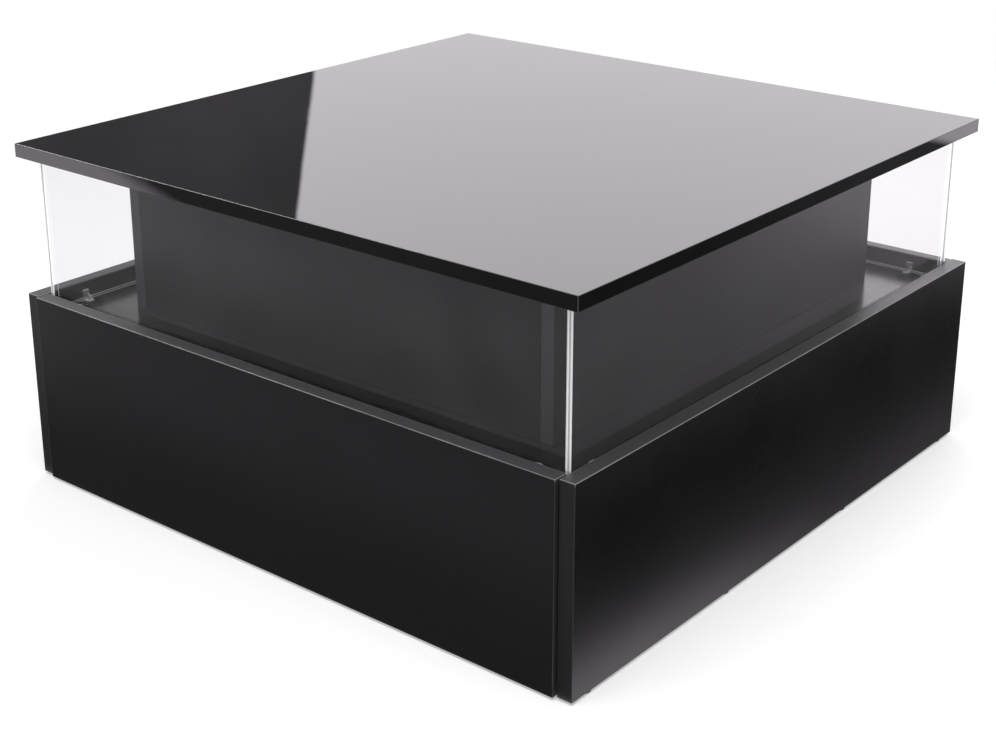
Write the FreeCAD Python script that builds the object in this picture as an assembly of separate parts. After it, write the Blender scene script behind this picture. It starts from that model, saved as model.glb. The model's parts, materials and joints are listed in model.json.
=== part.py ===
import FreeCAD, Part
import math
import os

# Collectors display table: a drawer base, a glass gallery round a core box, and a lift-off top.
# Millimetres. The carcass's own frame: X to the right, the drawer opens towards -Y, Z up from the floor.
# Every sub-part is moved back by carcass_shift when saved, so that the origin is central underneath.

# ---------------------------------------------------------------- driving dimensions
table_width = 800.0          # over the side panels, and the top's width
table_depth = 800.0          # length of the side panels, and the top's depth
board = 18.0                 # laminated board of the base
core_board = 16.0            # laminated board of the core box
back_board = 16.0            # thinner board of the back
top_board = 16.0             # gloss top
glide_height = 3.0           # the panels stand this far off the floor
base_height = 229.0          # side panels, from their lower edge to the rim
tray_drop = 20.0             # from the rim down to the display floor
glass_show = 165.0           # glass seen between the rim and the top
edge_round = 0.6             # rounding of the laminated edges

front_proud = 4.0            # the drawer front stands out from the side panels' ends
front_side_gap = 2.0         # between the drawer front and each side panel
push_gap = 3.5               # behind the drawer front, for the push that opens it
back_recess = 2.0            # back panel, inside the side panels' rear ends

pane = 6.0                   # glass thickness
pane_arris = 0.7             # ground edge of each pane
gasket = 0.8                 # strip between glass and rim
gasket_stand = 1.6           # the side and back strips stand this far above the rim
pad = 1.0                    # soft pad between glass and top
clip_from_middle = 338.0     # pane clips, from the middle of each pane

core_width = 618.0           # core box, over its side panels
core_depth = 628.0

edging = 1.0                 # edge strip of the top
edging_round = 0.7

drawer_board = 16.0
drawer_height = 130.0
drawer_length = 560.0
drawer_bottom_board = 6.0
groove_depth = 6.0
runner_space = 13.0          # between a side panel and the drawer box
runner_length = 550.0
rail_depth = 80.0            # front rails, front to back

# ---------------------------------------------------------------- levels and faces
carcass_shift = front_proud / 2
half_width = table_width / 2
half_depth = table_depth / 2
inner_x = half_width - board
panel_foot = glide_height
rim = glide_height + base_height
tray_top = rim - tray_drop
tray_under = tray_top - board
top_under = rim + glass_show
table_height = top_under + top_board
front_face = -half_depth - front_proud
front_back = front_face + board                  # inner face of the drawer front
tray_front = front_back + push_gap
back_outer = half_depth - back_recess
back_inner = back_outer - back_board
core_x = core_width / 2
core_y = core_depth / 2
core_pin_x = core_x - core_board / 2             # middle of the core's side boards
drawer_x = inner_x - runner_space                # outer face of a drawer side
drawer_foot = panel_foot + board + 5.0
drawer_rim = drawer_foot + drawer_height
drawer_rear = front_back + drawer_length
runner_z = drawer_foot + drawer_height / 2
runner_front = tray_front + push_gap

X = FreeCAD.Vector(1, 0, 0)
Y = FreeCAD.Vector(0, 1, 0)
Z = FreeCAD.Vector(0, 0, 1)

boards = {}                  # name: solid, drilled as the joints are added
hardware = {}                # name: list of separate solids


# ---------------------------------------------------------------- helpers
def at(x, y, z):
    return FreeCAD.Vector(x, y, z)


def block(x0, x1, y0, y1, z0, z1, rounding=0.0):
    """A box between two corners, its edges rounded when a rounding is given."""
    solid = Part.makeBox(x1 - x0, y1 - y0, z1 - z0, at(x0, y0, z0))
    if rounding:
        solid = solid.makeFillet(rounding, solid.Edges)
    return solid


def rod(radius, start, direction, length):
    """A cylinder from start along direction."""
    return Part.makeCylinder(radius, length, start, direction)


def cone(radius_start, radius_end, start, direction, length):
    return Part.makeCone(radius_start, radius_end, length, start, direction)


def mirrored(shape):
    """The same shape on the other side of the table's middle."""
    return shape.mirror(at(0, 0, 0), X)


def add(name, solid):
    hardware.setdefault(name, []).append(solid)


def drill(name, *cutters):
    boards[name] = boards[name].cut(list(cutters))


def save(name, shape):
    """Write one sub-part, a single solid or a list of separate solids."""
    if isinstance(shape, list):
        shape = Part.Compound(shape)
    shape = shape.copy()
    shape.translate(at(0, carcass_shift, 0))
    shape.exportStep("parts/" + name + ".step")
    print(name, len(shape.Solids), round(sum(s.Volume for s in shape.Solids) / 1000.0, 2), "cm3")


# ---------------------------------------------------------------- flat-pack joints
dowel_radius = 4.0
dowel_half = 15.0
cam_radius = 7.5
cam_depth = 12.5
cam_reach = 34.0             # from the board's end to the cam's middle
bolt_radius = 3.0
bolt_grip = 11.0             # thread in the side panel
hole_ease = 0.06             # radial clearance of every drilled hole


def dowel(first, second, middle, direction, group, half=dowel_half):
    """A wooden dowel across the contact plane of two boards, glued into a hole in each."""
    start = middle - direction * half
    add(group, rod(dowel_radius, start, direction, 2 * half))
    hole = rod(dowel_radius + hole_ease, start - direction * 0.5, direction, 2 * half + 1)
    drill(first, hole)
    drill(second, hole)


def cam_joint(panel, joined, end, inward, face):
    """A cam and bolt: end lies on the contact plane in the middle of the joined board's thickness.
    inward points into the joined board, face points to the surface that the cam is let into."""
    half = board / 2 if joined != "back_panel" else back_board / 2
    centre = end + inward * cam_reach
    mouth = centre + face * half
    housing = rod(cam_radius, mouth, -face, cam_depth)
    slot = rod(bolt_radius + 0.3, centre - inward * (cam_radius + 1), inward, cam_radius + 4)
    cross = block(-4, 4, -0.6, 0.6, -1, 1.2).fuse(block(-0.6, 0.6, -4, 4, -1, 1.2))
    turn = FreeCAD.Rotation(Z, -face)
    cross.Placement = FreeCAD.Placement(mouth, turn)
    add("cam_housings", housing.cut([slot, cross]))
    bolt = rod(bolt_radius, end - inward * bolt_grip, inward, bolt_grip + cam_reach)
    add("cam_bolts", bolt)
    drill(panel, rod(bolt_radius + hole_ease, end - inward * (bolt_grip + 0.5), inward, bolt_grip + 1))
    drill(joined, rod(cam_radius + hole_ease, mouth, -face, cam_depth + 0.2),
          rod(bolt_radius + 1, end, inward, cam_reach))


def countersunk_screw(face_point, direction, shank, length, head, head_depth):
    """A flat-head screw whose head lies flush in the face at face_point."""
    top = cone(head, shank, face_point, direction, head_depth)
    body = rod(shank, face_point + direction * head_depth, direction, length - head_depth)
    recess = rod(shank * 0.6, face_point, direction, head_depth * 0.7)
    return top.fuse(body).cut(recess)


def countersunk_hole(face_point, direction, shank, length, head, head_depth):
    top = cone(head + hole_ease, shank + hole_ease, face_point, direction, head_depth)
    body = rod(shank + hole_ease, face_point + direction * head_depth, direction, length - head_depth + 0.3)
    return top.fuse(body)


def pan_screw(face_point, direction, shank, length, head, head_height):
    """A round-head screw: its head stands on the face, its shank goes along direction."""
    dome = rod(head, face_point - direction * head_height, direction, head_height)
    upper = [e for e in dome.Edges if (face_point - e.CenterOfMass).dot(direction) > head_height * 0.9]
    dome = dome.makeFillet(head_height * 0.45, upper[:1])
    recess = rod(shank * 0.55, face_point - direction * head_height, direction, head_height * 0.6)
    return dome.fuse(rod(shank, face_point, direction, length)).cut(recess)


# ---------------------------------------------------------------- base boards
def base_boards():
    r = edge_round
    boards["side_panel_right"] = block(inner_x, half_width, -half_depth, half_depth, panel_foot, rim, r)
    boards["side_panel_left"] = mirrored(boards["side_panel_right"])
    boards["back_panel"] = block(-inner_x, inner_x, back_inner, back_outer, panel_foot, rim, r)
    boards["tray_floor"] = block(-inner_x, inner_x, tray_front, back_inner, tray_under, tray_top)
    for name, z in (("front_top_rail", tray_under - board), ("front_bottom_rail", panel_foot)):
        boards[name] = block(-inner_x, inner_x, tray_front, tray_front + rail_depth, z, z + board)


def base_joints():
    tray_middle = tray_under + board / 2
    back_middle = back_inner + back_board / 2
    rail_middle = tray_front + rail_depth / 2
    for side, panel in ((1, "side_panel_right"), (-1, "side_panel_left")):
        inward = X * -side
        contact = inner_x * side
        for y in (-260.0, 20.0, 300.0):
            cam_joint(panel, "tray_floor", at(contact, y, tray_middle), inward, -Z)
        for y in (-350.0, -120.0, 160.0, 360.0):
            dowel(panel, "tray_floor", at(contact, y, tray_middle), X, "carcass_dowels", 12.0)
        for z in (60.0, 140.0):
            cam_joint(panel, "back_panel", at(contact, back_middle, z), inward, -Y)
        for z in (30.0, 100.0, 175.0):
            dowel(panel, "back_panel", at(contact, back_middle, z), X, "carcass_dowels", 12.0)
        top_rail = at(contact, rail_middle + 10, tray_under - board / 2)
        cam_joint(panel, "front_top_rail", top_rail, inward, -Z)
        dowel(panel, "front_top_rail", top_rail - Y * 32, X, "carcass_dowels", 12.0)
        bottom_rail = at(contact, rail_middle + 10, panel_foot + board / 2)
        cam_joint(panel, "front_bottom_rail", bottom_rail, inward, Z)
        dowel(panel, "front_bottom_rail", bottom_rail - Y * 32, X, "carcass_dowels", 12.0)
    for x in (-250.0, 0.0, 250.0):
        dowel("back_panel", "tray_floor", at(x, back_inner, tray_middle), Y, "carcass_dowels", 10.0)
        dowel("tray_floor", "front_top_rail", at(x + 60, rail_middle, tray_under), Z, "carcass_dowels", 12.0)


def floor_glides():
    disc_radius = 8.0
    nail_radius = 1.2
    nail_length = 16.0
    for side, panel in ((1, "side_panel_right"), (-1, "side_panel_left")):
        x = side * (half_width - board / 2)
        for y in (-370.0, -125.0, 125.0, 370.0):
            disc = rod(disc_radius, at(x, y, 0), Z, glide_height)
            foot = [e for e in disc.Edges if abs(e.CenterOfMass.z) < 0.01]
            disc = disc.makeFillet(1.0, foot[:1])
            nail = rod(nail_radius, at(x, y, glide_height), Z, nail_length)
            add("floor_glides", disc.fuse(nail))
            drill(panel, rod(nail_radius + hole_ease, at(x, y, glide_height), Z, nail_length + 0.5))


# ---------------------------------------------------------------- core box
def core_box():
    r = edge_round
    side = block(core_x - core_board, core_x, -core_y, core_y, tray_top, top_under, r)
    boards["core_side_right"] = side
    boards["core_side_left"] = mirrored(side)
    span = core_x - core_board
    boards["core_front"] = block(-span, span, -core_y, -core_y + core_board, tray_top, top_under, r)
    boards["core_back"] = block(-span, span, core_y - core_board, core_y, tray_top, top_under, r)
    for x in (-150.0, 150.0):
        for name, y in (("core_front", -core_y + core_board / 2), ("core_back", core_y - core_board / 2)):
            dowel(name, "tray_floor", at(x, y, tray_top), Z, "core_dowels", 11.0)
    for x, name in ((core_pin_x, "core_side_right"), (-core_pin_x, "core_side_left")):
        for y in (-200.0, 200.0):
            dowel(name, "tray_floor", at(x, y, tray_top), Z, "core_dowels", 11.0)
        for y, end in ((-core_y + core_board / 2, "core_front"), (core_y - core_board / 2, "core_back")):
            for z in (tray_top + 50, top_under - 50):
                dowel(name, end, at(math.copysign(span, x), y, z), X, "core_dowels", 12.0)


def core_brackets():
    """Steel angles inside the core, screwed to the panels and to the display floor."""
    leg = 26.0
    thick = 1.5
    half = 9.0
    screw = 1.6
    reach = core_x - core_board
    depth = core_y - core_board
    places = [(reach, y, -X, "core_side_right") for y in (-120.0, 120.0)]
    places += [(-reach, y, X, "core_side_left") for y in (-120.0, 120.0)]
    places += [(x, -depth, Y, "core_front") for x in (-70.0, 70.0)]
    places += [(x, depth, -Y, "core_back") for x in (-70.0, 70.0)]
    for x, y, away, panel in places:
        upright = block(0, thick, -half, half, 0, leg)
        angle = upright.fuse(block(0, leg, -half, half, 0, thick)).removeSplitter()
        turn = FreeCAD.Rotation(X, away)
        angle.Placement = FreeCAD.Placement(at(x, y, tray_top), turn)
        corner = at(x, y, tray_top)
        on_panel = corner + away * thick + Z * (leg * 0.62)
        on_floor = corner + away * (leg * 0.62) + Z * thick
        holes = [rod(screw + 0.2, on_panel, -away, thick), rod(screw + 0.2, on_floor, -Z, thick)]
        add("core_brackets", angle.cut(holes))
        add("core_bracket_screws", pan_screw(on_panel, -away, screw, 12, 3.2, 2.0))
        add("core_bracket_screws", pan_screw(on_floor, -Z, screw, 12, 3.2, 2.0))
        drill(panel, rod(screw + hole_ease, on_panel, -away, 12.5))
        drill("tray_floor", rod(screw + hole_ease, on_floor, -Z, 12.5))


# ---------------------------------------------------------------- glass gallery
glass_x = inner_x - gasket                       # outer faces of the side panes
glass_front_y = tray_front + gasket
glass_back_y = back_inner - gasket
glass_top = top_under - pad


def glass_panes():
    """The side panes run the full depth, the front and back panes stand between them."""
    a = pane_arris
    right = block(glass_x - pane, glass_x, glass_front_y, glass_back_y, tray_top, glass_top)
    right = right.makeChamfer(a, right.Edges)
    boards["glass_right"] = right
    boards["glass_left"] = mirrored(right)
    span = glass_x - pane
    front = block(-span, span, glass_front_y, glass_front_y + pane, tray_top, glass_top)
    boards["glass_front"] = front.makeChamfer(a, front.Edges)
    rear = block(-span, span, glass_back_y - pane, glass_back_y, tray_top, glass_top)
    boards["glass_back"] = rear.makeChamfer(a, rear.Edges)


def pane_gaskets():
    """Strips round the outside of the glass: the side and back ones stand a little above the rim, and the
    front one, with the drawer front's gap before it, is level with the rim."""
    level = rim + gasket_stand
    for side in (1, -1):
        x = sorted((side * glass_x, side * inner_x))
        add("pane_gaskets", block(x[0], x[1], glass_front_y, glass_back_y, tray_top, level))
    add("pane_gaskets", block(-inner_x, inner_x, glass_back_y, back_inner, tray_top, level))
    add("pane_gaskets", block(-inner_x, inner_x, tray_front, glass_front_y, tray_top, rim))


def pane_pads():
    """Clear pads on the panes' upper edges, under the top."""
    reach = 250.0
    half = 8.0
    for s in (-reach, reach):
        for x in (glass_x - pane, -glass_x):
            add("pane_pads", block(x + 1, x + pane - 1, s - half, s + half, glass_top, top_under))
        for y in (glass_front_y, glass_back_y - pane):
            add("pane_pads", block(s - half, s + half, y + 1, y + pane - 1, glass_top, top_under))


def pane_clips():
    """A clear angle with a bead along its top and a gusset at one side, two at the foot of each pane, each held
    by one screw into the display floor."""
    height = 13.0
    foot = 12.0
    thick = 2.0
    half = 4.0
    bead = 3.4
    bead_round = 0.8
    web = 1.6                    # thickness of the gusset
    screw = 1.5
    screw_off = 0.8              # the screw stands away from the gusset
    inner_side = glass_x - pane
    inner_front = glass_front_y + pane
    inner_back = glass_back_y - pane
    places = []
    for s in (-clip_from_middle, clip_from_middle):
        places += [(inner_side, s, -X), (-inner_side, s, X), (s, inner_front, Y), (s, inner_back, -Y)]
    for x, y, away in places:
        upright = block(0, thick, -half, half, 0, height - bead_round)
        base = block(0, foot, -half, half, 0, thick)
        lip = block(0, bead, -half, half, height - bead, height, bead_round)
        low, out, high = at(0, half - web, 0), at(foot - 1, half - web, 0), at(0, half - web, height - bead)
        gusset = Part.Face(Part.makePolygon([low, out, high, low])).extrude(at(0, web, 0))
        clip = upright.fuse([base, lip, gusset]).removeSplitter()
        clip.Placement = FreeCAD.Placement(at(x, y, tray_top), FreeCAD.Rotation(X, away))
        seat = at(x, y, tray_top + thick) + away * (foot * 0.55) - Z.cross(away) * screw_off
        add("pane_clips", clip.cut(rod(screw + 0.2, seat, -Z, thick)))
        add("pane_clip_screws", pan_screw(seat, -Z, screw, 11, 2.7, 1.7))
        drill("tray_floor", rod(screw + hole_ease, seat, -Z, 11.5))


# ---------------------------------------------------------------- top
pin_radius = 4.0
pin_stand = 11.0
pin_depth = 18.0
pin_y = 270.0
sleeve_radius = 6.0
sleeve_bore = 4.4
sleeve_length = 12.5


def top():
    x = half_width - edging
    y = half_depth - edging
    boards["top_panel"] = block(-x, x, -y, y, top_under, table_height)
    for side in (1, -1):
        xs = sorted((side * x, side * half_width))
        strip = block(xs[0], xs[1], -y, y, top_under, table_height)
        add("top_edging", strip.makeFillet(edging_round, outer_long_edges(strip, X * side, half_width)))
        ys = sorted((side * y, side * half_depth))
        strip = block(-half_width, half_width, ys[0], ys[1], top_under, table_height)
        add("top_edging", strip.makeFillet(edging_round, outer_long_edges(strip, Y * side, half_depth)))
    for x in (core_pin_x, -core_pin_x):
        for y in (-pin_y, pin_y):
            side = "core_side_right" if x > 0 else "core_side_left"
            foot = at(x, y, top_under - pin_depth)
            pin = rod(pin_radius, foot, Z, pin_depth + pin_stand)
            tip = [e for e in pin.Edges if abs(e.CenterOfMass.z - top_under - pin_stand) < 0.01]
            add("top_locating_pins", pin.makeChamfer(1.2, tip[:1]))
            drill(side, rod(pin_radius + hole_ease, foot - Z * 0.5, Z, pin_depth + 0.5))
            seat = at(x, y, top_under)
            sleeve = rod(sleeve_radius, seat, Z, sleeve_length)
            add("top_pin_sleeves", sleeve.cut(rod(sleeve_bore, seat, Z, sleeve_length - 1)))
            drill("top_panel", rod(sleeve_radius + hole_ease, seat, Z, sleeve_length + 0.3))


def outer_long_edges(strip, outward, reach):
    """The two long outer edges of an edge strip."""
    found = []
    for e in strip.Edges:
        middle = e.CenterOfMass
        if abs(middle.dot(outward) - reach) < 0.01 and e.Length > 100:
            found.append(e)
    return found


# ---------------------------------------------------------------- drawer
def drawer():
    r = edge_round
    reach = inner_x - front_side_gap
    boards["drawer_front"] = block(-reach, reach, front_face, front_back, panel_foot, rim, r)
    inside = drawer_x - drawer_board
    z0, z1 = drawer_foot, drawer_rim
    side = block(inside, drawer_x, front_back, drawer_rear, z0, z1)
    boards["drawer_side_right"] = side
    boards["drawer_side_left"] = mirrored(side)
    boards["drawer_box_front"] = block(-inside, inside, front_back, front_back + drawer_board, z0, z1)
    boards["drawer_back"] = block(-inside, inside, drawer_rear - drawer_board, drawer_rear, z0, z1)
    floor_z = z0 + 12.0
    x = inside + groove_depth
    y0 = front_back + drawer_board - groove_depth
    y1 = drawer_rear - drawer_board + groove_depth
    ease = 0.15
    upper = floor_z + drawer_bottom_board
    boards["drawer_bottom"] = block(-x + ease, x - ease, y0 + ease, y1 - ease, floor_z, upper)
    groove = block(-x, x, y0, y1, floor_z - ease, upper + ease)
    for name in ("drawer_side_right", "drawer_side_left", "drawer_box_front", "drawer_back"):
        drill(name, groove)
    confirmat = (2.5, 50.0, 3.6, 3.4)                # shank, length, head radius, head depth
    ends = {"drawer_box_front": front_back + drawer_board / 2, "drawer_back": drawer_rear - drawer_board / 2}
    for side_name, s in (("drawer_side_right", 1), ("drawer_side_left", -1)):
        for end, y in ends.items():
            for z in (z0 + 30.0, z1 - 12.0):
                seat = at(s * drawer_x, y, z)
                add("drawer_box_screws", countersunk_screw(seat, X * -s, *confirmat))
                hole = countersunk_hole(seat, X * -s, *confirmat)
                drill(side_name, hole)
                drill(end, hole)
    for x in (-260.0, -90.0, 90.0, 260.0):
        seat = at(x, front_back + drawer_board, z0 + 75.0)
        add("drawer_front_screws", pan_screw(seat, -Y, 2.0, 28.0, 4.2, 2.4))
        hole = rod(2.0 + hole_ease, seat, -Y, 28.5)
        drill("drawer_box_front", hole)
        drill("drawer_front", hole)


# ---------------------------------------------------------------- ball-bearing runners
# Section of a runner: u from the side panel's face towards the drawer, w up and down from its middle.
steel = 1.2
cabinet_half = 22.5
ball_radius = 1.5
ball_ease = 0.1
cage_steel = 0.5
cage_strip = 0.7
outer_ball_w = cabinet_half - steel - ball_ease - ball_radius
middle_half = outer_ball_w - ball_radius - ball_ease
inner_ball_w = middle_half - steel - ball_ease - ball_radius
drawer_half = inner_ball_w - ball_radius - ball_ease
ball_lip = 0.9
cabinet_tip_u = 10.6
middle_u = 2.9
middle_tip_u = 11.4
drawer_tip_u = 6.2
cage_length = 280.0
cage_setback = 125.0         # from the runner's front end to the cage's front end, drawer shut
ball_pitch = 34.0
ball_count = 8               # in each row
pocket_ease = 0.12
cages = {                    # web's u, flange's end u, the rows' w, the rows' u
    "outer_ball_cage": (1.8, 8.9, outer_ball_w, 6.0),
    "inner_ball_cage": (4.7, 9.9, inner_ball_w, 8.2),
}


def lipped_channel(u_web, u_tip, w):
    """Outline of a folded channel: web at u_web, flanges out to u_tip, lips that keep the balls in."""
    web = u_web + steel
    lip_u = u_tip - steel
    flange = w - steel
    lip_w = flange - ball_lip
    return [(u_web, -w), (u_tip, -w), (u_tip, -lip_w), (lip_u, -lip_w), (lip_u, -flange), (web, -flange),
            (web, flange), (lip_u, flange), (lip_u, lip_w), (u_tip, lip_w), (u_tip, w), (u_web, w)]


def plain_channel(u_web, u_tip, w):
    """Outline of the drawer member: web at u_web, flanges back to u_tip."""
    web = u_web - steel
    flange = w - steel
    return [(u_web, -w), (u_web, w), (u_tip, w), (u_tip, flange),
            (web, flange), (web, -flange), (u_tip, -flange), (u_tip, -w)]


def section_solid(points, y0, y1):
    """Extrude a (u, w) outline along Y on the right-hand side panel."""
    corners = [at(inner_x - u, y0, runner_z + w) for u, w in points]
    corners.append(corners[0])
    return Part.Face(Part.makePolygon(corners)).extrude(at(0, y1 - y0, 0))


def cage_solid(web_u, strip_end, ball_w, y0, y1):
    """A folded strip that spaces the balls: a web with a flange through each row of balls."""
    w = ball_w + cage_strip / 2
    v = ball_w - cage_strip / 2
    points = [(web_u, -w), (strip_end, -w), (strip_end, -v), (web_u + cage_steel, -v),
              (web_u + cage_steel, v), (strip_end, v), (strip_end, w), (web_u, w)]
    return section_solid(points, y0, y1)


def runners():
    y0 = runner_front
    y1 = runner_front + runner_length
    cabinet = section_solid(lipped_channel(0.0, cabinet_tip_u, cabinet_half), y0, y1)
    middle = section_solid(lipped_channel(middle_u, middle_tip_u, middle_half), y0, y1)
    member = section_solid(plain_channel(runner_space, drawer_tip_u, drawer_half), y0, y1)
    cage0 = y0 + cage_setback
    first = cage0 + (cage_length - (ball_count - 1) * ball_pitch) / 2
    for name, (web_u, strip_end, ball_w, ball_u) in cages.items():
        cage = cage_solid(web_u, strip_end, ball_w, cage0, cage0 + cage_length)
        balls = []
        pockets = []
        for i in range(ball_count):
            for w in (-ball_w, ball_w):
                middle_point = at(inner_x - ball_u, first + i * ball_pitch, runner_z + w)
                balls.append(Part.makeSphere(ball_radius, middle_point))
                pockets.append(rod(ball_radius + pocket_ease, middle_point - Z, Z, 2))
        cage = cage.cut(pockets)
        ball_name = name.replace("_cage", "s")
        for side in ("right", "left"):
            turn = (lambda s: s) if side == "right" else mirrored
            hardware[name + "_" + side] = [turn(cage)]
            hardware[ball_name + "_" + side] = [turn(b) for b in balls]
    runner_screws(cabinet, member, y0)
    hardware["middle_runner_right"] = [middle]
    hardware["middle_runner_left"] = [mirrored(middle)]


def runner_screws(cabinet, member, y0):
    """Flush screws, three through each cabinet member and three through each drawer member."""
    flush = (1.7, 13.0, 3.3, steel)
    cabinet_holes = []
    member_holes = []
    for y in (y0 + 35.0, y0 + 259.0, y0 + 515.0):
        seat = at(inner_x - steel, y, runner_z)
        add("cabinet_runner_screws", countersunk_screw(seat, X, *flush))
        add("cabinet_runner_screws", mirrored(countersunk_screw(seat, X, *flush)))
        hole = countersunk_hole(seat, X, *flush)
        cabinet_holes.append(hole)
        drill("side_panel_right", hole)
        drill("side_panel_left", mirrored(hole))
        seat = at(drawer_x + steel, y, runner_z)
        add("drawer_runner_screws", countersunk_screw(seat, -X, *flush))
        add("drawer_runner_screws", mirrored(countersunk_screw(seat, -X, *flush)))
        hole = countersunk_hole(seat, -X, *flush)
        member_holes.append(hole)
        drill("drawer_side_right", hole)
        drill("drawer_side_left", mirrored(hole))
    cabinet = cabinet.cut(cabinet_holes)
    member = member.cut(member_holes)
    hardware["cabinet_runner_right"] = [cabinet]
    hardware["cabinet_runner_left"] = [mirrored(cabinet)]
    hardware["drawer_runner_right"] = [member]
    hardware["drawer_runner_left"] = [mirrored(member)]


# ---------------------------------------------------------------- push-to-open latch
latch_height = 14.0
latch_front = tray_front + 4.5
latch_length = 42.0
plunger_radius = 4.0
plunger_length = 26.0
strike = 0.8
strike_clear = 3.4           # from the plunger's tip to the strike plate, drawer shut
spring_radius = 3.1
spring_wire = 0.4
spring_turns = 7


def push_latch():
    under = tray_under - board
    z = under - latch_height / 2
    body = block(-10, 10, latch_front, latch_front + latch_length, under - latch_height, under, 1.0)
    ears = block(-24, 24, latch_front + 12, latch_front + 30, under - 2.5, under)
    bore = rod(plunger_radius + 0.2, at(0, latch_front, z), Y, latch_length - 4)
    body = body.fuse(ears)
    holes = [bore]
    for x in (-18.0, 18.0):
        seat = at(x, latch_front + 21, under - 2.5)
        holes.append(rod(1.7, seat, Z, 2.5))
        add("latch_screws", pan_screw(seat, Z, 1.5, 13, 3.0, 1.8))
        drill("front_top_rail", rod(1.5 + hole_ease, seat, Z, 13.5))
    add("latch_body", body.cut(holes))
    tip = front_back + strike + strike_clear
    plunger = rod(plunger_radius, at(0, tip, z), Y, plunger_length)
    nose = [e for e in plunger.Edges if abs(e.CenterOfMass.y - tip) < 0.01]
    add("latch_plunger", plunger.makeFillet(1.2, nose[:1]))
    spring_start = tip + plunger_length + 0.2 + spring_wire
    spring_end = latch_front + latch_length - 4 - 0.2 - spring_wire
    height = spring_end - spring_start
    helix = Part.makeHelix(height / spring_turns, height, spring_radius)
    ring = Part.Wire(Part.makeCircle(spring_wire, at(spring_radius, 0, 0), Y))
    spring = Part.Wire(helix).makePipeShell([ring], True, True)
    spring.Placement = FreeCAD.Placement(at(0, spring_start, z), FreeCAD.Rotation(Z, Y))
    add("latch_spring", spring)
    plate = block(-14, 14, front_back, front_back + strike, z - 6.5, z + 5.5)
    add("latch_strike", plate)


# ---------------------------------------------------------------- assembly
os.makedirs("parts", exist_ok=True)
base_boards()
base_joints()
floor_glides()
core_box()
core_brackets()
glass_panes()
pane_gaskets()
pane_pads()
pane_clips()
top()
drawer()
runners()
push_latch()
for name, solid in boards.items():
    save(name, solid)
for name, solids in hardware.items():
    save(name, solids if len(solids) > 1 else solids[0])
print("sub-parts:", len(boards) + len(hardware), "height", table_height)
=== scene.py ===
import bpy
import json
import math
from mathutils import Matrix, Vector


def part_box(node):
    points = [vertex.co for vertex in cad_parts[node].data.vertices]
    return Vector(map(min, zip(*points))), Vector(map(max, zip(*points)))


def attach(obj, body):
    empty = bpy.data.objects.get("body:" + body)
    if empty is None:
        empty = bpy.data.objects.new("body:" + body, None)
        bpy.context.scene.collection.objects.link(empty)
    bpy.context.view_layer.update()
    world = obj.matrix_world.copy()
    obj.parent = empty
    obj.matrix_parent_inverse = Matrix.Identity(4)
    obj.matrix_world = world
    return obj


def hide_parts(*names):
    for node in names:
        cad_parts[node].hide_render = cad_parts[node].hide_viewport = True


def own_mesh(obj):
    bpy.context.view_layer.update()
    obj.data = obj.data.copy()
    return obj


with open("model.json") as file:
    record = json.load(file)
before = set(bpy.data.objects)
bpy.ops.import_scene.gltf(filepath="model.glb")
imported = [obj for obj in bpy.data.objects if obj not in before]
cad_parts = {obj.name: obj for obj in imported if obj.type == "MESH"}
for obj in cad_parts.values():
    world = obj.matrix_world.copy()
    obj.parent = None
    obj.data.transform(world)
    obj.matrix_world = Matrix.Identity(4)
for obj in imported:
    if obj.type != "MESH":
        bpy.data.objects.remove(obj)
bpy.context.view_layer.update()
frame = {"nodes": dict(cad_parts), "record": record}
parts = frame["nodes"]
print("frame loaded,", len(parts), "parts")

white = (1, 1, 1)
crisp = (0.35, 0.65)  # the stretch of a noise over which a look changes
even = (0.3, 0.7)  # the same, a little softer
noiseMiddle = 0.5
mixColour = {"first": 6, "second": 7, "result": 2}  # a Mix node's sockets for colours


# material nodes under short names
def addNode(tree, kind, sockets=None, **settings):
    node = tree.nodes.new("ShaderNode" + kind)
    for name, value in settings.items():
        setattr(node, name, value)
    for name, value in (sockets or {}).items():
        if isinstance(value, bpy.types.NodeSocket):
            tree.links.new(value, node.inputs[name])
        else:
            node.inputs[name].default_value = value
    return node


def newMaterial(name):
    material = bpy.data.materials.new(name)
    material.use_nodes = True
    material.node_tree.nodes.clear()
    return material, material.node_tree


def finishMaterial(tree, shader):
    addNode(tree, "OutputMaterial", {"Surface": shader})


def objectPlace(tree):
    return addNode(tree, "TexCoord").outputs["Object"]


def axes(tree, place):
    return addNode(tree, "SeparateXYZ", {0: place}).outputs


def facingAxes(tree):
    return axes(tree, addNode(tree, "TexCoord").outputs["Normal"])


def calc(tree, operation, first, second=0.0):
    return addNode(tree, "Math", {0: first, 1: second}, operation=operation).outputs[0]


def product(tree, first, second):
    return calc(tree, "MULTIPLY", first, second)


def total(tree, first, second):
    return calc(tree, "ADD", first, second)


def vectorCalc(tree, operation, first, second=(0, 0, 0)):
    return addNode(tree, "VectorMath", {0: first, 1: second}, operation=operation).outputs


def ramp(tree, value, low, high, start=0.0, end=1.0):
    sockets = {"Value": value, "From Min": low, "From Max": high, "To Min": start, "To Max": end}
    return addNode(tree, "MapRange", sockets, interpolation_type="SMOOTHSTEP").outputs[0]


def stretch(tree, place, x, y, z):
    return addNode(tree, "Mapping", {"Vector": place, "Scale": (x, y, z)}).outputs[0]


def noise(tree, place, scale, detail):
    return addNode(tree, "TexNoise", {"Vector": place, "Scale": scale, "Detail": detail}).outputs["Fac"]


def cells(tree, place, scale):
    return addNode(tree, "TexVoronoi", {"Vector": place, "Scale": scale}).outputs["Distance"]


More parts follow.
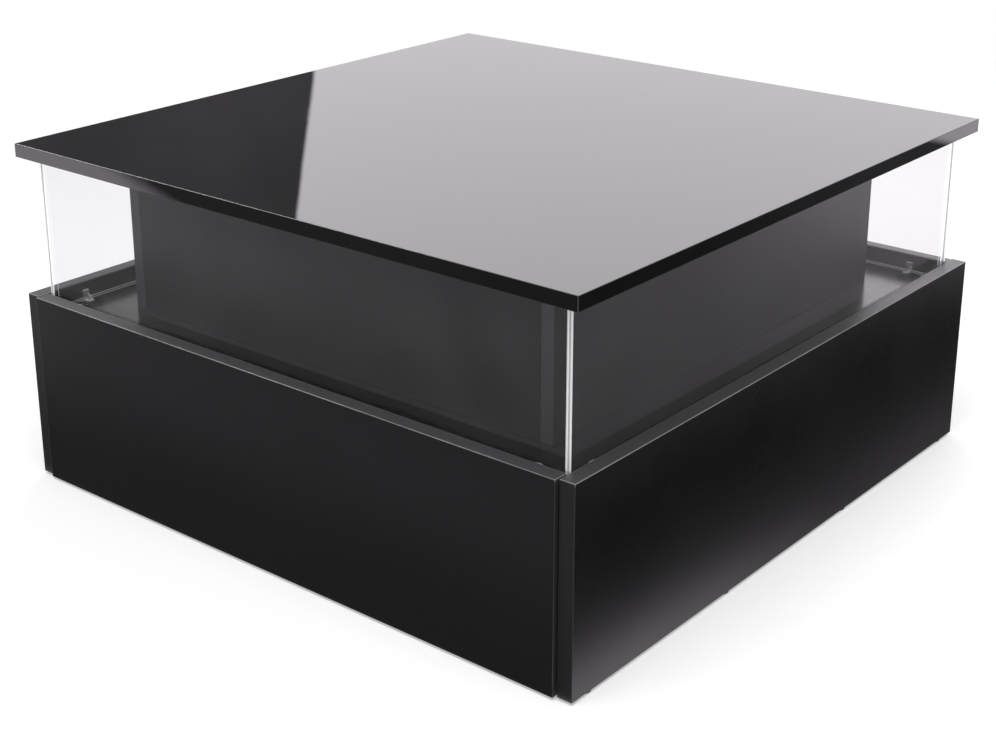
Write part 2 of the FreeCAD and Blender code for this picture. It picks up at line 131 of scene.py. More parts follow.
def blendColour(tree, factor, first, second):
    node = addNode(tree, "Mix", {0: factor}, data_type="RGBA")
    for index, value in ((mixColour["first"], first), (mixColour["second"], second)):
        if isinstance(value, bpy.types.NodeSocket):
            tree.links.new(value, node.inputs[index])
        else:
            node.inputs[index].default_value = (*value, 1)
    return node.outputs[mixColour["result"]]


def relief(tree, height, depth):
    return addNode(tree, "Bump", {"Height": height, "Distance": depth}).outputs[0]


def principled(tree, sockets):
    return addNode(tree, "BsdfPrincipled", sockets).outputs[0]


def glowing(tree, colour, level):
    return addNode(tree, "Emission", {"Color": (*colour, 1), "Strength": level}).outputs[0]


def letThrough(tree, tint=white):
    return addNode(tree, "BsdfTransparent", {"Color": (*tint, 1)}).outputs[0]


def mixShaders(tree, share, first, second):
    return addNode(tree, "MixShader", {0: share, 1: first, 2: second}).outputs[0]


def addShaders(tree, first, second):
    return addNode(tree, "AddShader", {0: first, 1: second}).outputs[0]


# how near a point of a board is to its closest arris: 0 from reach inwards, 1 over the last of the reach
def arrisNearness(tree, place, board, reach, full=0.2):
    low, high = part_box(board)
    middle = vectorCalc(tree, "SUBTRACT", place, (low + high) / 2)[0]
    folded = vectorCalc(tree, "ABSOLUTE", middle)[0]
    x, y, z = axes(tree, vectorCalc(tree, "SUBTRACT", folded, (high - low) / 2)[0])
    smaller = calc(tree, "MINIMUM", x, y)
    larger = calc(tree, "MAXIMUM", x, y)
    second = calc(tree, "MAXIMUM", smaller, calc(tree, "MINIMUM", larger, z))
    return ramp(tree, second, -reach, -reach * full)


# 1 where a face doesn't look along the axis, and 0 where it does
def turnedFrom(tree, facing, axis, half=0.5):
    return calc(tree, "LESS_THAN", calc(tree, "ABSOLUTE", facing[axis]), half)


# 1 on the narrow faces of a board, which carry the edge band, and 0 on its two broad faces
def bandFaces(tree, board, facing):
    low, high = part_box(board)
    size = high - low
    return turnedFrom(tree, facing, min(range(3), key=lambda axis: size[axis]))


# satin boards: arris is the colour of a painted highlight along the upper arrises, and arrisBelow is how far
# under the board's top that painted highlight starts and ends
satinLook = {"dark": (0.0064, 0.0059, 0.0066), "light": (0.0099, 0.0093, 0.0102), "rough": (0.24, 0.32),
             "bandDark": (0.011, 0.0104, 0.0113), "bandLight": (0.017, 0.0163, 0.0174), "bandRough": 0.4,
             "dustAndLitDark": (0.046, 0.044, 0.0468), "dustAndLitLight": (0.067, 0.0648, 0.068),
             "dustAndLitUpward": (0.3, 0.8), "arris": (0.3, 0.292, 0.3), "arrisReach": 0.001,
             "arrisBelow": (0.003, 0.002), "sideHighlight": 0.12, "wornOver": (0.25, 0.6), "leastHighlight": 0.5,
             "speck": (1300, 2.0), "smudge": (8, 4.0), "pearl": (2600, 1.0), "pearlDepth": 0.000002,
             "shine": 0.5}
coreLook = {**satinLook, "dark": (0.0136, 0.0128, 0.0138), "light": (0.0166, 0.0158, 0.0169),
            "rough": (0.43, 0.48), "bandDark": (0.062, 0.0596, 0.063), "bandLight": (0.08, 0.0775, 0.081),
            "arris": (0.06, 0.058, 0.06), "sideHighlight": 0.0, "pearlDepth": 0.000001}
displayLook = {**satinLook, "rough": (0.2, 0.27), "shine": 1.0, "pearlDepth": 0.000001}
sideLook = {**satinLook, "dustAndLitDark": (0.043, 0.0413, 0.044), "dustAndLitLight": (0.06, 0.058, 0.061), "shine": 0.53}
drawerFrontLook = {**satinLook, "bandDark": (0.034, 0.0325, 0.0347), "bandLight": (0.046, 0.0443, 0.0467)}


# the board's own colours, with a paler edge band, dust together with painted light from above on the band's
# upward faces, and a painted highlight along the upper arrises
def satinBoard(board, look):
    material, tree = newMaterial(board + "_laminate")
    place = objectPlace(tree)
    facing = facingAxes(tree)
    speck = ramp(tree, noise(tree, place, *look["speck"]), *crisp)
    smudge = noise(tree, place, *look["smudge"])
    band = bandFaces(tree, board, facing)
    # the band's upward faces are paler: partly dust, partly painted light from above
    dustAndLitMask = product(tree, band, ramp(tree, facing[2], *look["dustAndLitUpward"]))
    broad = blendColour(tree, speck, look["dark"], look["light"])
    edging = blendColour(tree, speck, look["bandDark"], look["bandLight"])
    dust = blendColour(tree, speck, look["dustAndLitDark"], look["dustAndLitLight"])
    colour = blendColour(tree, dustAndLitMask, blendColour(tree, band, broad, edging), dust)
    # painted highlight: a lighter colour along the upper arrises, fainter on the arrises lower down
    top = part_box(board)[1].z
    start, end = look["arrisBelow"]
    upper = ramp(tree, axes(tree, place)[2], top - start, top - end, look["sideHighlight"])
    highlight = product(tree, arrisNearness(tree, place, board, look["arrisReach"]), upper)
    highlight = product(tree, highlight, ramp(tree, smudge, *look["wornOver"], look["leastHighlight"]))
    colour = blendColour(tree, highlight, colour, look["arris"])
    roughness = ramp(tree, smudge, *even, *look["rough"])
    roughness = calc(tree, "MAXIMUM", roughness, product(tree, band, look["bandRough"]))
    bump = relief(tree, noise(tree, place, *look["pearl"]), look["pearlDepth"])
    finishMaterial(tree, principled(tree, {"Base Color": colour, "Roughness": roughness, "Normal": bump,
                                           "Specular IOR Level": look["shine"]}))
    return material


glossLook = {"colour": (0.0035, 0.0035, 0.0038), "haze": (0.006, 0.006, 0.0065), "hazeOver": (0.4, 0.75),
             "rough": (0.012, 0.035), "roughOver": (0.35, 0.75), "smudge": (6, 5.0), "wave": (95, 1.0),
             "waveDepth": 0.0000032, "dustGrains": 420, "dustSize": (0.11, 0.05), "dustDrift": (37, 2.0),
             "dustOver": (0.55, 0.75), "dustColour": (0.05, 0.05, 0.055)}
# the edging's arris colour is a painted highlight along its arrises
edgingLook = {**glossLook, "wave": (60, 1.0), "waveDepth": 0.000006, "arris": (0.12, 0.118, 0.12),
              "arrisReach": 0.0008}


# high gloss with slight waves, haze and single grains of dust, and, where the look gives an arris colour, a
# painted highlight along the edging's arrises
def glossBoard(name, look):
    material, tree = newMaterial(name)
    place = objectPlace(tree)
    smudge = noise(tree, place, *look["smudge"])
    dust = product(tree, ramp(tree, cells(tree, place, look["dustGrains"]), *look["dustSize"]),
                   ramp(tree, noise(tree, place, *look["dustDrift"]), *look["dustOver"]))
    colour = blendColour(tree, ramp(tree, smudge, *look["hazeOver"]), look["colour"], look["haze"])
    colour = blendColour(tree, dust, colour, look["dustColour"])
    # painted highlight along the edging's arrises
    if "arris" in look:
        edgingHighlight = arrisNearness(tree, place, "top_edging", look["arrisReach"])
        colour = blendColour(tree, edgingHighlight, colour, look["arris"])
    roughness = ramp(tree, smudge, *look["roughOver"], *look["rough"])
    bump = relief(tree, noise(tree, place, *look["wave"]), look["waveDepth"])
    finishMaterial(tree, principled(tree, {"Base Color": colour, "Roughness": roughness, "Normal": bump}))
    return material


drawerLook = {"dark": (0.036, 0.036, 0.038), "light": (0.055, 0.055, 0.058), "rough": (0.5, 0.62),
              "thread": (620, 2.0), "drawn": 0.05, "printOver": (0.4, 0.6), "cloud": (12, 3.0),
              "depth": 0.00003}


# grey drawer boards with a fine linen print and grain
def linenBoard(look):
    material, tree = newMaterial("drawer_laminate")
    place = objectPlace(tree)
    drawn = look["drawn"]
    across = noise(tree, stretch(tree, place, 1, 1, drawn), *look["thread"])
    along = noise(tree, stretch(tree, place, drawn, drawn, 1), *look["thread"])
    thread = product(tree, total(tree, across, along), 1 / 2)
    colour = blendColour(tree, ramp(tree, thread, *look["printOver"]), look["dark"], look["light"])
    roughness = ramp(tree, noise(tree, place, *look["cloud"]), *even, *look["rough"])
    bump = relief(tree, thread, look["depth"])
    finishMaterial(tree, principled(tree, {"Base Color": colour, "Roughness": roughness, "Normal": bump}))
    return material


bottomLook = {"dark": (0.05, 0.05, 0.052), "light": (0.075, 0.074, 0.075), "rough": (0.5, 0.66),
              "fibre": (260, 5.0), "drawn": 0.35, "cloud": (15, 3.0), "depth": 0.00005}


def fibreBoard(look):
    material, tree = newMaterial("drawer_bottom_board")
    place = objectPlace(tree)
    fibre = noise(tree, stretch(tree, place, 1, look["drawn"], 1), *look["fibre"])
    colour = blendColour(tree, ramp(tree, fibre, *crisp), look["dark"], look["light"])
    roughness = ramp(tree, noise(tree, place, *look["cloud"]), *even, *look["rough"])
    bump = relief(tree, fibre, look["depth"])
    finishMaterial(tree, principled(tree, {"Base Color": colour, "Roughness": roughness, "Normal": bump}))
    return material


# steel parts are drawn along y, and the casting and the balls have an even grain
steelLook = {"cloud": (90, 3.0), "wornOver": (0.35, 0.7), "drawn": 0.08}
metals = {
    "zinc_casting": {**steelLook, "colour": (0.5, 0.5, 0.51), "worn": (0.38, 0.38, 0.4),
                     "rough": (0.38, 0.55), "grain": (700, 3.0), "depth": 0.00004, "drawn": 1},
    "plated_steel": {**steelLook, "colour": (0.66, 0.66, 0.67), "worn": (0.55, 0.56, 0.6),
                     "rough": (0.18, 0.3), "grain": (1500, 3.0), "depth": 0.000006},
    "runner_steel": {**steelLook, "colour": (0.6, 0.61, 0.63), "worn": (0.5, 0.51, 0.54),
                     "rough": (0.24, 0.38), "grain": (1100, 3.0), "depth": 0.00001},
    "cage_steel": {**steelLook, "colour": (0.48, 0.49, 0.51), "worn": (0.4, 0.4, 0.42),
                   "rough": (0.32, 0.46), "grain": (1100, 3.0), "depth": 0.00001},
    "ball_steel": {**steelLook, "colour": (0.75, 0.75, 0.77), "worn": (0.68, 0.68, 0.7),
                   "rough": (0.06, 0.12), "grain": (800, 3.0), "depth": 0.000002, "drawn": 1},
}


def metal(name, look):
    material, tree = newMaterial(name)
    place = objectPlace(tree)
    grain = noise(tree, stretch(tree, place, 1, look["drawn"], 1), *look["grain"])
    cloud = noise(tree, place, *look["cloud"])
    tone = blendColour(tree, ramp(tree, cloud, *look["wornOver"]), look["colour"], look["worn"])
    roughness = ramp(tree, grain, *even, *look["rough"])
    bump = relief(tree, grain, look["depth"])
    finishMaterial(tree, principled(tree, {"Base Color": tone, "Metallic": 1.0, "Roughness": roughness,
                                           "Normal": bump}))
    return material


plastics = {
    "black_plastic": {"dark": (0.011, 0.011, 0.012), "light": (0.018, 0.018, 0.019), "cloud": (60, 3.0),
                      "rough": (0.42, 0.56), "grain": (1800, 2.0), "depth": 0.00003},
    "white_plastic": {"dark": (0.62, 0.62, 0.6), "light": (0.7, 0.7, 0.68), "cloud": (60, 3.0),
                      "rough": (0.35, 0.48), "grain": (1600, 2.0), "depth": 0.00002},
}


def plastic(name, look):
    material, tree = newMaterial(name)
    place = objectPlace(tree)
    grain = noise(tree, place, *look["grain"])
    cloud = noise(tree, place, *look["cloud"])
    tone = blendColour(tree, ramp(tree, cloud, *crisp), look["dark"], look["light"])
    roughness = ramp(tree, grain, *even, *look["rough"])
    bump = relief(tree, grain, look["depth"])
    finishMaterial(tree, principled(tree, {"Base Color": tone, "Roughness": roughness, "Normal": bump}))
    return material


beechLook = {"pale": (0.62, 0.43, 0.25), "deep": (0.44, 0.27, 0.14), "rough": (0.55, 0.7),
             "grain": (240, 4.0), "drawn": 0.12, "flecks": 900, "fleckDrawn": 0.2, "fleckSize": (0.16, 0.08),
             "depth": 0.0001}


def beech(look):
    material, tree = newMaterial("beech_dowel")
    place = objectPlace(tree)
    grain = noise(tree, stretch(tree, place, look["drawn"], 1, 1), *look["grain"])
    fleck = cells(tree, stretch(tree, place, look["fleckDrawn"], 1, 1), look["flecks"])
    tone = blendColour(tree, ramp(tree, grain, *crisp), look["pale"], look["deep"])
    tone = blendColour(tree, ramp(tree, fleck, *look["fleckSize"]), tone, look["deep"])
    roughness = ramp(tree, grain, *even, *look["rough"])
    bump = relief(tree, grain, look["depth"])
    finishMaterial(tree, principled(tree, {"Base Color": tone, "Roughness": roughness, "Normal": bump}))
    return material


clearBuild = {"bend": 1.5, "mirror": 1.4, "mostMirror": 0.95}


# see-through parts: light goes straight on, and the mirror of both faces is counted on the outer one
def clearShader(tree, tint, mirror, roughness):
    fresnel = addNode(tree, "Fresnel", {"IOR": clearBuild["bend"]}).outputs[0]
    outer = calc(tree, "SUBTRACT", 1.0, addNode(tree, "NewGeometry").outputs["Backfacing"])
    share = product(tree, product(tree, fresnel, mirror), outer)
    share = calc(tree, "MINIMUM", share, clearBuild["mostMirror"])
    shine = addNode(tree, "BsdfGlossy", {"Color": (*white, 1), "Roughness": roughness}).outputs[0]
    return mixShaders(tree, share, letThrough(tree, tint), shine)


glassLook = {"tint": (1.0, 0.998, 1.0), "rough": (0.0, 0.02), "roughOver": (0.4, 0.7), "smudge": (11, 5.0),
             "film": 0.017, "filmThinned": 0.6, "filmColour": (0.8, 0.8, 0.82)}


# the panes' broad faces, with a thin film of fingermarks and dust that comes and goes
def glassFace(look):
    material, tree = newMaterial("clear_glass")
    smudge = noise(tree, objectPlace(tree), *look["smudge"])
    roughness = ramp(tree, smudge, *look["roughOver"], *look["rough"])
    clear = clearShader(tree, look["tint"], clearBuild["mirror"], roughness)
    film = addNode(tree, "BsdfDiffuse", {"Color": (*look["filmColour"], 1)}).outputs[0]
    amount = ramp(tree, smudge, *even, look["filmThinned"] * look["film"], look["film"])
    finishMaterial(tree, mixShaders(tree, amount, clear, film))
    return material


# litShare and the strength of the painted glow are given for the duller line along the middle, then for the
# rest of the edge
edgeLook = {"bright": (0.95, 0.95, 0.96), "line": (0.42, 0.42, 0.43), "lineHalf": (0.0008, 0.0014),
            "open": 0.25, "litShare": (0.3, 0.85), "rough": (0.18, 0.34), "grind": (900, 2.0),
            "grindDepth": 0.00002, "paintedGlow": (0.05, 0.3), "paintedGlowTint": (1, 0.98, 1)}


# the ground and polished edges of a pane carry light along it, and that light is painted on as a glow
def glassEdge(name, axis, middle, look):
    material, tree = newMaterial(name)
    place = objectPlace(tree)
    grind = noise(tree, place, *look["grind"])
    off = calc(tree, "ABSOLUTE", calc(tree, "SUBTRACT", axes(tree, place)[axis], middle))
    side = ramp(tree, off, *look["lineHalf"])
    tone = blendColour(tree, side, look["line"], look["bright"])
    roughness = ramp(tree, grind, *even, *look["rough"])
    bump = relief(tree, grind, look["grindDepth"])
    skin = principled(tree, {"Base Color": tone, "Roughness": roughness, "Normal": bump})
    glow = addNode(tree, "BsdfTranslucent", {"Color": (*look["bright"], 1)}).outputs[0]
    lit = mixShaders(tree, look["open"], glow, letThrough(tree))
    surface = mixShaders(tree, ramp(tree, side, 0, 1, *look["litShare"]), skin, lit)
    upright = turnedFrom(tree, facingAxes(tree), 2)
    # painted glow on the edges' upright faces, standing in for the light the pane carries
    paintedGlow = product(tree, upright, ramp(tree, side, 0, 1, *look["paintedGlow"]))
    finishMaterial(tree, addShaders(tree, surface, glowing(tree, look["paintedGlowTint"], paintedGlow)))
    return material


mouldingLook = {"flow": (140, 3.0), "cloudThinned": 0.7, "cloudRough": (0.2, 0.4), "mirror": 1.4,
                "paintedGlow": 0.0, "paintedGlowTint": (1, 0.98, 1), "upward": (0.4, 0.6)}
mouldings = {
    "clear_plastic": {**mouldingLook, "tint": (0.97, 0.98, 0.98), "cloud": (0.75, 0.77, 0.78), "amount": 0.3,
                      "rough": (0.03, 0.1), "paintedGlow": 0.16},
    "clear_pad": {**mouldingLook, "tint": (0.9, 0.91, 0.91), "cloud": (0.55, 0.56, 0.57), "amount": 0.5,
                  "rough": (0.2, 0.35)},
    "clear_seal": {**mouldingLook, "tint": (0.8, 0.8, 0.8), "cloud": (0.4, 0.4, 0.41), "amount": 0.015,
                   "rough": (0.4, 0.6), "mirror": 0.5},
}


# moulded clear parts are a little cloudy, and a painted glow on their upward faces stands in for the light
# they carry
def clearMoulding(name, look):
    material, tree = newMaterial(name)
    flow = noise(tree, objectPlace(tree), *look["flow"])
    clear = clearShader(tree, look["tint"], look["mirror"], ramp(tree, flow, *even, *look["rough"]))
    cloudRough = ramp(tree, flow, *even, *look["cloudRough"])
    cloud = principled(tree, {"Base Color": (*look["cloud"], 1), "Roughness": cloudRough})
    share = ramp(tree, flow, *even, look["cloudThinned"] * look["amount"], look["amount"])
    surface = mixShaders(tree, share, clear, cloud)
    if look["paintedGlow"]:
        # painted glow on the upward faces
        paintedGlow = ramp(tree, facingAxes(tree)[2], *look["upward"], 0, look["paintedGlow"])
        surface = addShaders(tree, surface, glowing(tree, look["paintedGlowTint"], paintedGlow))
    finishMaterial(tree, surface)
    return material


# finishes onto the CAD parts, by the record's slots, with a board's own look where it has one
boardLooks = {"satin_laminate": satinLook, "core_laminate": coreLook, "display_floor_laminate": displayLook}
ownLooks = {"drawer_front": drawerFrontLook, "side_panel_left": sideLook, "side_panel_right": sideLook}
finishes = {
    "gloss_top": glossBoard("gloss_top", glossLook),
    "gloss_edging": glossBoard("gloss_edging", edgingLook),
    "drawer_laminate": linenBoard(drawerLook),
    "drawer_bottom_board": fibreBoard(bottomLook),
    **{name: clearMoulding(name, look) for name, look in mouldings.items()},
    **{name: metal(name, look) for name, look in metals.items()},
    "beech_dowel": beech(beechLook),
    **{name: plastic(name, look) for name, look in plastics.items()},
}
for row in frame["record"]["subparts"]:
    part = parts[row["node"]]
    slot = row["material_slot"]
    if slot in boardLooks:
        look = ownLooks.get(row["node"], boardLooks[slot])
        part.material_slots[0].material = satinBoard(row["node"], look)
    elif slot in finishes:
        part.material_slots[0].material = finishes[slot]
print("finishes on the parts")


# glass panes
paneBuild = {"arris": 0.0005, "arrisSteps": 2, "names": ("left", "right", "front", "back"), "broad": 0.99,
             "endways": 0.5}


def addPane(side, build):
    node = "glass_" + side
    low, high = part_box(node)
    bpy.ops.object.select_all(action="DESELECT")
    bpy.ops.mesh.primitive_cube_add(size=1, location=(low + high) / 2, scale=high - low)
    pane = bpy.context.object
    pane.name = pane.data.name = "pane_" + side
    bpy.ops.object.transform_apply(location=True, rotation=True, scale=True)
    bpy.ops.object.mode_set(mode="EDIT")
    bpy.ops.mesh.select_all(action="SELECT")
    bpy.ops.mesh.bevel(offset=build["arris"], offset_type="OFFSET", segments=build["arrisSteps"],
                       affect="EDGES")
    bpy.ops.mesh.normals_make_consistent(inside=False)
    bpy.ops.object.mode_set(mode="OBJECT")
    thin = 0 if side in ("left", "right") else 1
    pane.data.materials.append(paneGlass)
    pane.data.materials.append(glassEdge("glass_edge_" + side, thin, (low[thin] + high[thin]) / 2, edgeLook))
    for face in pane.data.polygons:
        bonded = thin == 1 and abs(face.normal.x) > build["endways"]  # glued to a side pane, so it vanishes
        face.material_index = 0 if bonded or abs(face.normal[thin]) > build["broad"] else 1
    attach(pane, "carcass")
    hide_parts(node)


paneGlass = glassFace(glassLook)
for side in paneBuild["names"]:
    addPane(side, paneBuild)
print("panes glazed")


# latch spring: a copy of its own coil
springBuild = {"node": "latch_spring", "joint": "latch_press", "stroke": 0.003, "weld": 0.000005}


def addSpring(build):
    coil = bpy.data.objects.new("spring_coil", parts[build["node"]].data.copy())
    coil.data.name = coil.name
    bpy.context.scene.collection.objects.link(coil)
    bpy.ops.object.select_all(action="DESELECT")
    bpy.context.view_layer.objects.active = coil
    coil.select_set(True)
    bpy.ops.object.mode_set(mode="EDIT")
    bpy.ops.mesh.select_all(action="SELECT")
    bpy.ops.mesh.remove_doubles(threshold=build["weld"])
    bpy.ops.object.mode_set(mode="OBJECT")
    coil.data.materials.clear()
    coil.data.materials.append(finishes["plated_steel"])
    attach(coil, "carcass")
    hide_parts(build["node"])
    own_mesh(coil)


addSpring(springBuild)
print("latch spring wound")


# camera: the shift keeps the uprights nearly parallel
cameraBuild = {"lens": 64.0, "place": (1.259, -1.559, 0.939), "turn": 39.26, "dip": 19.37, "shift": -0.10}


def addCamera(build):
    lens = bpy.data.cameras.new("camera")
    lens.lens = build["lens"]
    lens.shift_y = build["shift"]
    camera = bpy.data.objects.new("camera", lens)
    bpy.context.scene.collection.objects.link(camera)
    camera.location = build["place"]
    camera.rotation_euler = (math.radians(90 - build["dip"]), 0, math.radians(build["turn"]))
    bpy.context.scene.camera = camera


addCamera(cameraBuild)
print("camera placed")


# studio: 1 for rays that show the background itself, straight, mirrored or through glass
def backgroundRay(tree):
    path = addNode(tree, "LightPath").outputs
    seen = calc(tree, "MAXIMUM", path["Is Camera Ray"], path["Is Glossy Ray"])
    return calc(tree, "MAXIMUM", seen, path["Is Transmission Ray"])


worldBuild = {"level": 0.42}


def addWorld(build):
    world = bpy.data.worlds.new("studio")
    bpy.context.scene.world = world
    world.use_nodes = True
    tree = world.node_tree
    tree.nodes.clear()
    level = calc(tree, "MAXIMUM", backgroundRay(tree), build["level"])
    light = addNode(tree, "Background", {"Color": (*white, 1), "Strength": level}).outputs[0]
    addNode(tree, "OutputWorld", {"Surface": light})


floorBuild = {"size": 60.0, "colour": (0.78, 0.78, 0.785), "greyed": 0.98, "grain": (300, 3.0), "lift": 0.36,
              "near": 1.3, "far": 2.6}


# pale floor that keeps the shadow and melts into plain white further out
def addFloor(build):
    bpy.ops.object.select_all(action="DESELECT")
    bpy.ops.mesh.primitive_plane_add(size=build["size"])
    floor = bpy.context.object
    floor.name = "floor"
    material, tree = newMaterial("floor")
    place = objectPlace(tree)
    melt = ramp(tree, vectorCalc(tree, "LENGTH", place)["Value"], build["near"], build["far"])
    shown = backgroundRay(tree)
    grain = ramp(tree, noise(tree, place, *build["grain"]), *even)
    greyed = tuple(build["greyed"] * share for share in build["colour"])
    tone = blendColour(tree, grain, build["colour"], greyed)
    paper = addNode(tree, "BsdfDiffuse", {"Color": tone}).outputs[0]
    near = addShaders(tree, paper, glowing(tree, white, product(tree, shown, build["lift"])))
    far = glowing(tree, white, 1.0)
    finishMaterial(tree, mixShaders(tree, product(tree, melt, shown), near, far))
    material.cycles.emission_sampling = "NONE"
    floor.data.materials.append(material)


def addSheet(name, middle, turn, wide, high):
    bpy.ops.object.select_all(action="DESELECT")
    bpy.ops.mesh.primitive_plane_add(size=1, location=middle, rotation=turn)
    sheet = bpy.context.object
    sheet.name = name
    sheet.scale = (wide, high, 1)
    bpy.ops.object.transform_apply(location=True, rotation=True, scale=True)
    return sheet


# a light-giving or dark sheet that stands in the studio out of the camera's sight
def hideFromCamera(sheet, onlyMirrored):
    sheet.visible_camera = False
    sheet.visible_shadow = False
    sheet.visible_transmission = False
    sheet.visible_diffuse = not onlyMirrored


# the wall's left edge leans and steps back at cutAt, and its light grows upwards and to the right, then fades
wallBuild = {"from": (-2.65, 2.07), "to": (3.0, 3.55), "foot": 0.5, "head": 2.9, "tint": (1, 0.97, 1),
             "level": (1.6, 2.75), "levelOver": (0.6, 2.6), "edge": 0.11, "soft": 0.02, "lean": -0.17,
             "leanFrom": 1.525, "cut": 0.16, "cutAt": (1.54, 1.6), "ripple": (6, 3.0), "uneven": 0.012,
             "rightGain": 1.35, "fade": (1.6, 2.8), "faded": 0.15}


def addLightWall(build):
    start, end = Vector((*build["from"], 0)), Vector((*build["to"], 0))
    run = end - start
    middle = (start + end) / 2 + Vector((0, 0, (build["foot"] + build["head"]) / 2))
    turn = (math.pi / 2, 0, math.atan2(run.y, run.x))
    wall = addSheet("light_wall", middle, turn, run.length, build["head"] - build["foot"])
    material, tree = newMaterial("light_wall")
    place = objectPlace(tree)
    height = axes(tree, place)[2]
    along = vectorCalc(tree, "DOT_PRODUCT", place, run.normalized())["Value"]
    ripple = calc(tree, "SUBTRACT", noise(tree, place, *build["ripple"]), noiseMiddle)
    lean = product(tree, calc(tree, "SUBTRACT", build["leanFrom"], height), build["lean"])
    along = total(tree, total(tree, along, product(tree, ripple, build["uneven"])), lean)
    along = calc(tree, "SUBTRACT", along, ramp(tree, height, *build["cutAt"], 0, build["cut"]))
    edge = start.dot(run.normalized()) + build["edge"]
    level = ramp(tree, height, *build["levelOver"], *build["level"])
    level = product(tree, level, ramp(tree, along, edge, edge + run.length, 1, build["rightGain"]))
    level = product(tree, level, ramp(tree, along, *build["fade"], 1, build["faded"]))
    light = glowing(tree, build["tint"], level)
    share = ramp(tree, along, edge, edge + build["soft"])
    finishMaterial(tree, mixShaders(tree, share, letThrough(tree), light))
    wall.data.materials.append(material)
    hideFromCamera(wall, False)


# dark hangings on part of a round track: from and to are degrees round it
hangingBuild = {"facets": 120, "folds": (0.8, 2.0), "shades": (0.92, 1.08), "tint": (1, 0.94, 1)}
flagBuild = {**hangingBuild, "distance": 20.0, "from": 128.0, "to": 170.0, "foot": 2.4, "head": 7.1,
             "level": 0.13}
roomBuild = {**hangingBuild, "distance": 5.0, "from": -137.0, "to": 45.0, "foot": 0.0, "head": 5.0,
             "level": 0.16}


def addHanging(name, build):
    bpy.ops.object.select_all(action="DESELECT")
    bpy.ops.mesh.primitive_cylinder_add(vertices=build["facets"], radius=build["distance"],
                                        depth=build["head"] - build["foot"], end_fill_type="NOTHING",
                                        location=(0, 0, (build["head"] + build["foot"]) / 2))
    hanging = bpy.context.object
    hanging.name = name
    bpy.ops.object.transform_apply(location=True, rotation=True, scale=True)
    bpy.ops.object.mode_set(mode="EDIT")
    bpy.ops.mesh.select_all(action="DESELECT")
    bpy.ops.object.mode_set(mode="OBJECT")
    for face in hanging.data.polygons:
        turn = math.degrees(math.atan2(face.center.y, face.center.x))
        face.select = not build["from"] < turn < build["to"]
    bpy.ops.object.mode_set(mode="EDIT")
    bpy.ops.mesh.select_mode(type="FACE")
    bpy.ops.mesh.delete(type="FACE")
    bpy.ops.object.mode_set(mode="OBJECT")
    material, tree = newMaterial(name)
    folds = noise(tree, objectPlace(tree), *build["folds"])
    level = ramp(tree, folds, *even, *(shade * build["level"] for shade in build["shades"]))
    finishMaterial(tree, glowing(tree, build["tint"], level))
    material.cycles.emission_sampling = "NONE"
    hanging.data.materials.append(material)
    hideFromCamera(hanging, True)


stripBuild = {"x": -3.0, "y": (-1.5, 0.25), "z": (2.2, 4.3), "level": 11.0, "tint": (1, 0.98, 1)}


# strip light high on the left, seen only as the thin line of light along rounded arrises
def addStripLight(build):
    (y0, y1), (z0, z1) = build["y"], build["z"]
    middle = (build["x"], (y0 + y1) / 2, (z0 + z1) / 2)
    strip = addSheet("strip_light", middle, (math.pi / 2, 0, math.pi / 2), y1 - y0, z1 - z0)
    material, tree = newMaterial("strip_light")
    finishMaterial(tree, glowing(tree, build["tint"], build["level"]))
    material.cycles.emission_sampling = "NONE"
    strip.data.materials.append(material)
    hideFromCamera(strip, True)


# dark cloth on the floor round the front and the right, seen only in reflections
clothBuild = {"low": (-2.4, -5.0), "high": (5.0, 2.7), "height": 0.0015, "gap": 0.001, "tint": (1, 0.93, 1),
              "front": 0.12, "right": 0.0, "rightOver": 0.2}
# paler stretches: how bright, then where each comes and goes along x or y: from, to, and the shares there
clothStretches = {
    "leftward": (0.085, ("x", 0.3, -1.1), ("y", -0.45, -1.1)),
    "stripe": (0.165, ("y", -0.48, -0.7), ("y", -1.235, -1.2), ("y", -0.74, -0.86, 1.0, 0.35)),
    "aisle": (0.22, ("x", 0.67, 0.705), ("x", 1.03, 1.01), ("y", 0.6, 1.4, 1.0, 1.8)),
    "beyond": (0.06, ("x", 1.0, 1.03)),
    "rearward": (0.09, ("y", 0.6, 1.6)),
}
# light that pools beside the right side panel, brightest at the front
poolBuild = {"level": 1.0, "reach": 0.085, "dimFrom": 0.2, "dim": 0.08, "fullPast": 0.03}
# bright floor past the cloth's front end, with a slanting side, and past its rear end
frontEnd = {"level": 2.1, "over": (-1.243, -1.248), "corner": -1.249, "slope": 3.11,
            "sideOver": (-1.07, -1.29)}
rearEnd = {"level": 1.9, "over": (1.67, 1.75)}
# the cloth fades out to the left and behind, so that seen from there the panes don't mirror its end
bareBuild = {"leftSlope": 0.705, "leftOver": (-0.136, 0.264), "leftOf": -0.38, "backSlope": 0.442,
             "backOver": (-0.11, 0.09), "behind": 0.385}


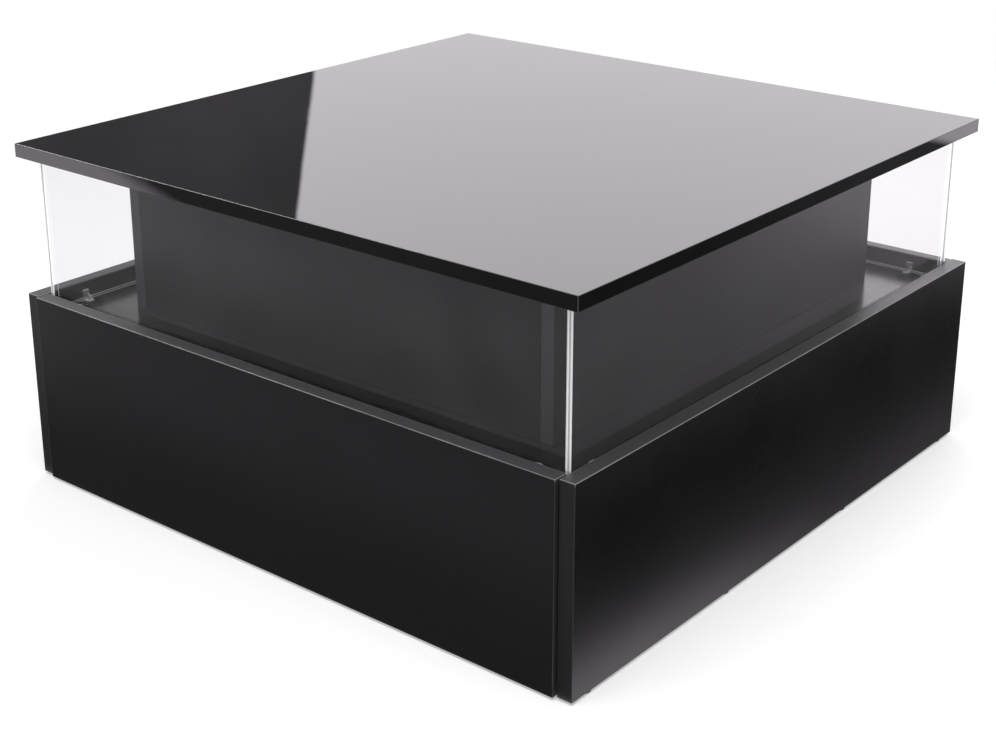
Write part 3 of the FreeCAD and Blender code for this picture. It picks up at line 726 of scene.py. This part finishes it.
def clothLevel(tree, build, x, y, side, front):
    level = ramp(tree, x, side, side + build["rightOver"], build["front"], build["right"])
    along = {"x": x, "y": y}
    for bright, *fades in clothStretches.values():
        share = 1.0
        for axis, *span in fades:
            share = product(tree, share, ramp(tree, along[axis], *span))
        level = total(tree, level, product(tree, share, bright))
    pool = product(tree, ramp(tree, x, side + poolBuild["reach"], side),
                   ramp(tree, y, poolBuild["dimFrom"], front - poolBuild["fullPast"], poolBuild["dim"], 1))
    pool = product(tree, pool, calc(tree, "GREATER_THAN", x, side))
    level = total(tree, level, product(tree, pool, poolBuild["level"]))
    slant = product(tree, calc(tree, "SUBTRACT", y, frontEnd["corner"]), frontEnd["slope"])
    slant = calc(tree, "SUBTRACT", x, slant)
    glow = product(tree, ramp(tree, y, *frontEnd["over"]),
                   ramp(tree, slant, *frontEnd["sideOver"], 0, frontEnd["level"]))
    level = calc(tree, "MAXIMUM", level, glow)
    return calc(tree, "MAXIMUM", level, ramp(tree, y, *rearEnd["over"], 0, rearEnd["level"]))


def clothBareness(tree, build, x, y):
    leftLine = calc(tree, "SUBTRACT", y, product(tree, x, build["leftSlope"]))
    left = product(tree, ramp(tree, leftLine, *build["leftOver"]),
                   calc(tree, "LESS_THAN", x, build["leftOf"]))
    backLine = calc(tree, "SUBTRACT", product(tree, y, build["backSlope"]), x)
    back = product(tree, ramp(tree, backLine, *build["backOver"]),
                   calc(tree, "GREATER_THAN", y, build["behind"]))
    return calc(tree, "MAXIMUM", left, back)


def addFloorCloth(build):
    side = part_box("side_panel_right")[1].x
    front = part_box("drawer_front")[0].y
    material, tree = newMaterial("floor_cloth")
    x, y = axes(tree, objectPlace(tree))[:2]
    dark = glowing(tree, build["tint"], clothLevel(tree, build, x, y, side, front))
    finishMaterial(tree, mixShaders(tree, clothBareness(tree, bareBuild, x, y), dark, letThrough(tree)))
    material.cycles.emission_sampling = "NONE"
    (left, near), (right, rear) = build["low"], build["high"]
    spans = {"floor_cloth_front": (left, near, right, front - build["gap"]),
             "floor_cloth_right": (side + build["gap"], front - build["gap"], right, rear)}
    for name, (x0, y0, x1, y1) in spans.items():
        middle = ((x0 + x1) / 2, (y0 + y1) / 2, build["height"])
        cloth = addSheet(name, middle, (0, 0, 0), x1 - x0, y1 - y0)
        cloth.data.materials.append(material)
        hideFromCamera(cloth, True)


topLampBuild = {"place": (0.6, -1.25, 3.2), "size": 2.2, "power": 72}


def addTopLamp(build):
    light = bpy.data.lights.new("top_lamp", "AREA")
    light.shape = "SQUARE"
    light.size = build["size"]
    light.energy = build["power"]
    lamp = bpy.data.objects.new("top_lamp", light)
    lamp.location = build["place"]
    lamp.visible_camera = False
    bpy.context.scene.collection.objects.link(lamp)


addWorld(worldBuild)
addFloor(floorBuild)
addLightWall(wallBuild)
addHanging("dark_flag", flagBuild)
addHanging("dark_room", roomBuild)
addStripLight(stripBuild)
addFloorCloth(clothBuild)
addTopLamp(topLampBuild)
bpy.context.scene.view_settings.view_transform = "Standard"
print("studio lit")
